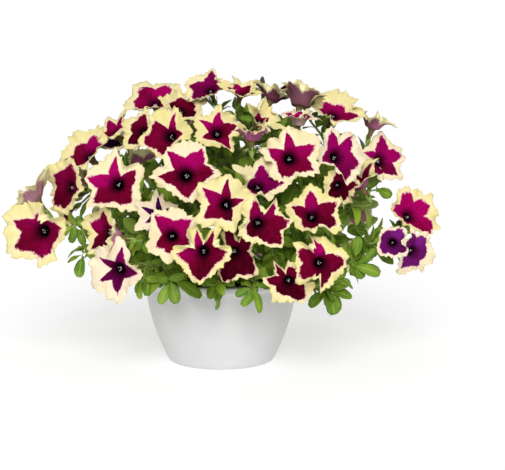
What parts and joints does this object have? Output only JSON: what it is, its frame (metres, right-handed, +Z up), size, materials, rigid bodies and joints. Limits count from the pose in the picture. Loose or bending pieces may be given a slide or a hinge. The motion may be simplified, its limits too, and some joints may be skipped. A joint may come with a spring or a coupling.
{
  "type": "potted trailing petunia",
  "caption": "Mounded trailing petunia with burgundy star blooms edged in cream, growing in a plain white bowl pot.",
  "frame": {"origin": "middle of the pot's underside, on the surface that it stands on", "axes": "+Z up along the pot's axis; the plant's fullest side, seen in the picture, looks along -Y"},
  "size_m": [0.4545, 0.3504, 0.3152],
  "materials": {
    "pot_plastic": "satin",
    "potting_mix": "matte",
    "woody_stem": "matte",
    "foliage": "satin",
    "petal": "matte",
    "violet_petal": "matte"
  },
  "bodies": {
    "root": {"pot": "pot_plastic", "potting_mix": "potting_mix", "root_crown": "woody_stem", "shoot_right": "foliage", "shoot_back_right": "foliage", "shoot_back_left": "foliage", "shoot_left": "foliage", "shoot_front_left": "foliage", "shoot_front_right": "foliage", "shoot_top": "foliage", "flower_01": "petal", "flower_02": "petal", "flower_03": "petal", "flower_04": "petal", "flower_05": "petal", "flower_06": "petal", "flower_07": "petal", "flower_08": "petal", "flower_09": "petal", "flower_10": "petal", "flower_11": "petal", "flower_12": "petal", "flower_13": "petal", "flower_14": "petal", "flower_15": "petal", "flower_16": "petal", "flower_17": "petal", "flower_18": "petal", "flower_19": "petal", "flower_20": "petal", "flower_21": "petal", "flower_22": "petal", "flower_23": "petal", "flower_24": "petal", "flower_25": "petal", "flower_26": "petal", "flower_27": "petal", "flower_28": "petal", "flower_29": "petal", "flower_30": "petal", "flower_31": "petal", "flower_32": "petal", "flower_33": "petal", "flower_34": "petal", "flower_35": "petal", "flower_36": "petal", "flower_37": "petal", "flower_38": "petal", "flower_39": "violet_petal", "flower_40": "violet_petal", "flower_41": "petal", "flower_42": "petal", "flower_43": "petal", "flower_44": "petal", "flower_45": "petal", "flower_46": "petal", "flower_47": "petal", "flower_48": "petal", "flower_49": "petal", "flower_50": "petal"}
  },
  "joints": []
}
